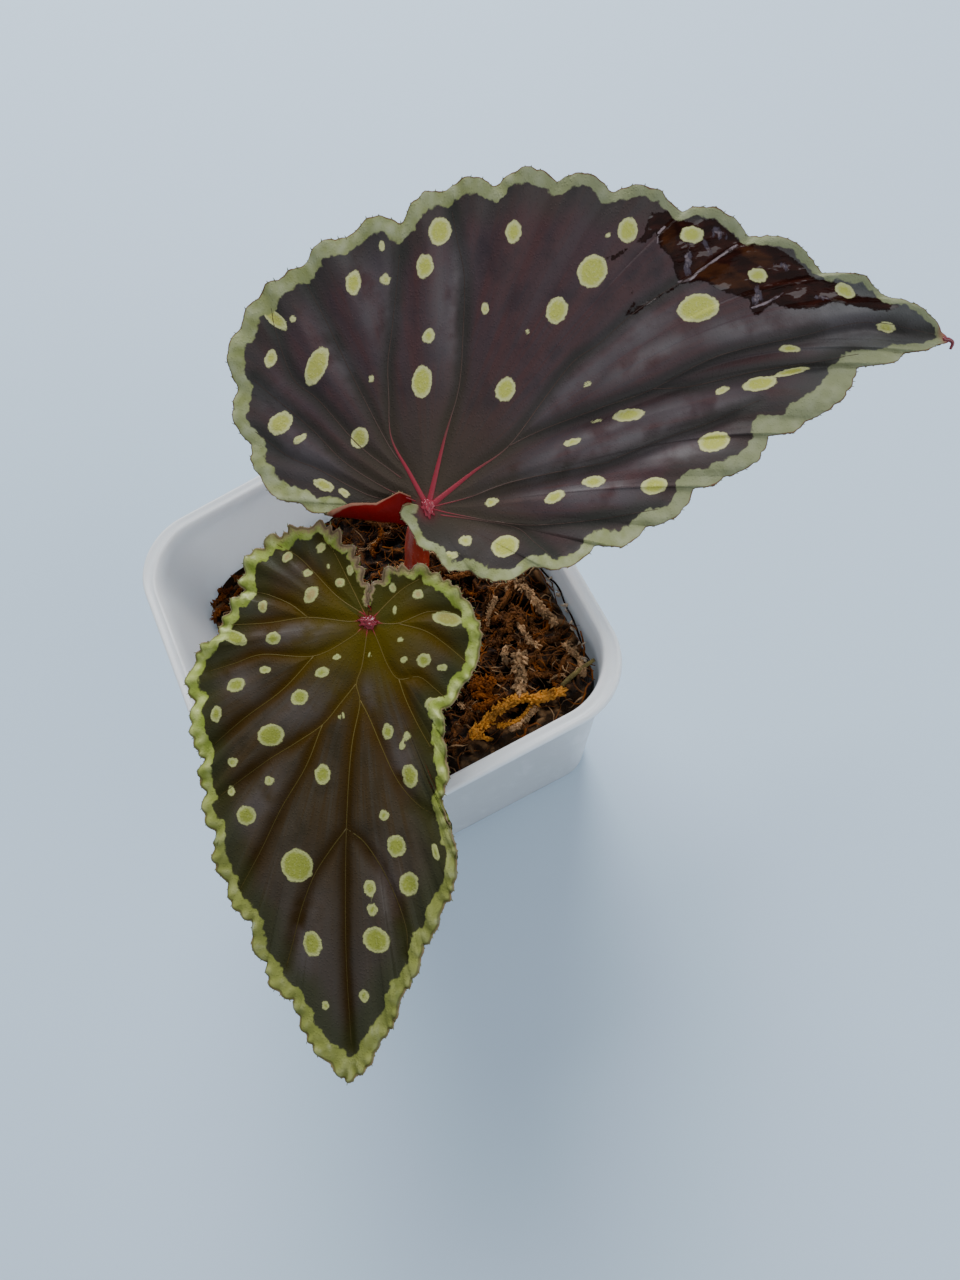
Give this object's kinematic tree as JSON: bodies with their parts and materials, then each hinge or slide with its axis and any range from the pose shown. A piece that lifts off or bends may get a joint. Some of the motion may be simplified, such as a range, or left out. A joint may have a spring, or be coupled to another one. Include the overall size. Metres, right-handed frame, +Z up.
{
  "type": "potted begonia",
  "caption": "Young begonia in a small square frosted pot: dark pleated leaves with pale spots and a pale green wavy margin, on red stalks, rooted in moss.",
  "frame": {"origin": "centre of the pot's base, on the surface that the pot stands on", "axes": "+Z up, square to the base; X and Y run along the pot's sides; the large leaf's tip points towards +X and the small leaf hangs over the side towards -Y"},
  "size_m": [0.1403, 0.1009, 0.1226],
  "materials": {
    "frosted_plastic": "satin",
    "moss": "matte",
    "rhizome": "matte",
    "stalk": "satin",
    "leaf_large": "satin",
    "leaf_small": "satin"
  },
  "bodies": {
    "root": {"pot": "frosted_plastic", "moss": "moss", "rhizome": "rhizome", "petiole_large": "stalk", "petiole_small": "stalk", "leaf_large": "leaf_large", "leaf_small": "leaf_small"}
  },
  "joints": []
}
